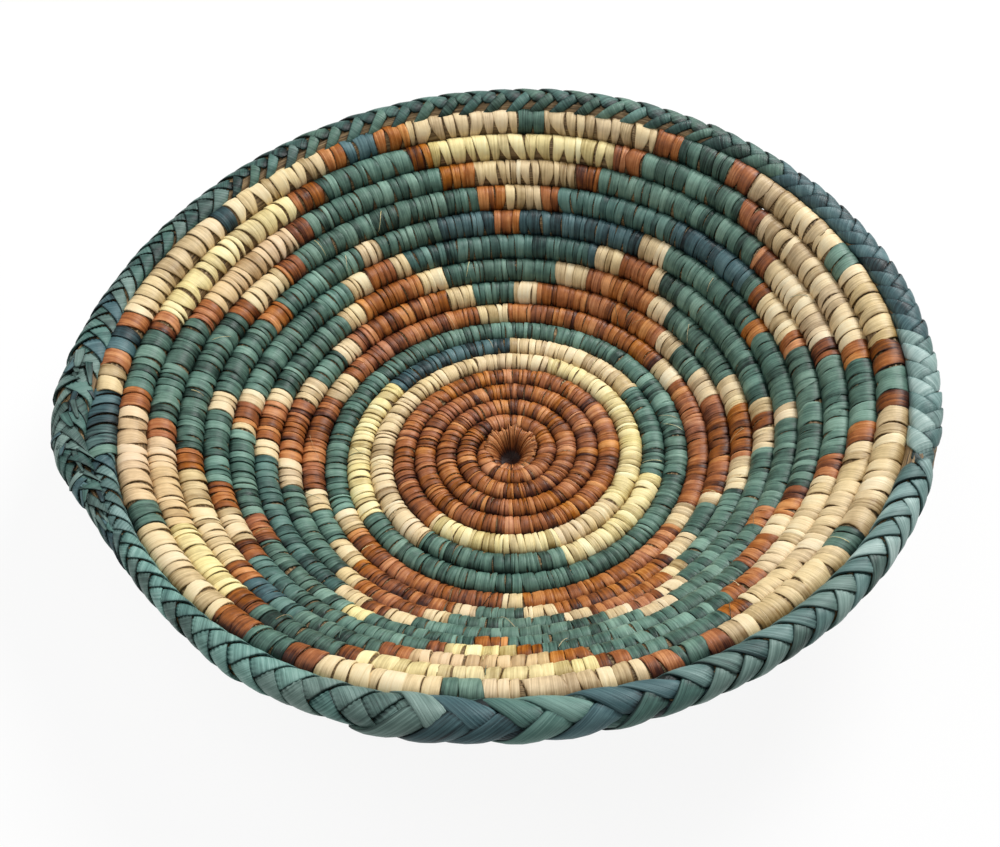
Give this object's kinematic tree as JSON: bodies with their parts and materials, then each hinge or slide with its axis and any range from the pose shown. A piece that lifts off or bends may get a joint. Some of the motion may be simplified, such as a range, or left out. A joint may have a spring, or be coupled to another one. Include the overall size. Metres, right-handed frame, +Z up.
{
  "type": "coiled basket bowl",
  "caption": "Shallow round coiled basket bowl of leaf strips wrapped and sewn over a straw coil, with a stepped geometric pattern and a braided rim.",
  "frame": {"origin": "on the surface that the basket stands on, under the middle of its outer box", "axes": "+Z up out of the bowl's mouth; -Y towards the side that the picture sees as the near one, +X to its right"},
  "size_m": [0.2902, 0.2856, 0.0586],
  "materials": {
    "straw": "dry straw bundle, matte and fibrous",
    "rust_leaf": "split palm leaf dyed rust brown, dull satin, fine grain along the strip",
    "cream_leaf": "undyed split palm leaf, dull satin, fine grain along the strip",
    "teal_leaf": "split palm leaf dyed grey teal, dull satin, fine grain along the strip",
    "navy_leaf": "split palm leaf dyed dark blue, dull satin, fine grain along the strip"
  },
  "bodies": {
    "root": {"foundation_coil": "straw", "wrap_round_01": "rust_leaf", "wrap_round_02": "rust_leaf", "wrap_round_03": "rust_leaf", "wrap_round_04": "rust_leaf", "wrap_round_05": "rust_leaf", "wrap_round_06": "cream_leaf", "wrap_round_07": "teal_leaf", "wrap_round_08": "teal_leaf", "wrap_round_09": "rust_leaf", "wrap_round_10": "rust_leaf", "wrap_round_11": "rust_leaf", "wrap_round_12": "teal_leaf", "wrap_round_13": "teal_leaf", "wrap_round_14": "teal_leaf", "wrap_round_15": "teal_leaf", "wrap_round_16": "cream_leaf", "wrap_round_17": "cream_leaf", "rim_core": "straw", "rim_braid_01": "navy_leaf", "rim_braid_02": "teal_leaf", "rim_braid_03": "teal_leaf", "rim_braid_04": "teal_leaf", "rim_braid_05": "teal_leaf", "rim_braid_06": "navy_leaf", "rim_braid_07": "teal_leaf", "rim_braid_08": "teal_leaf"}
  },
  "joints": []
}
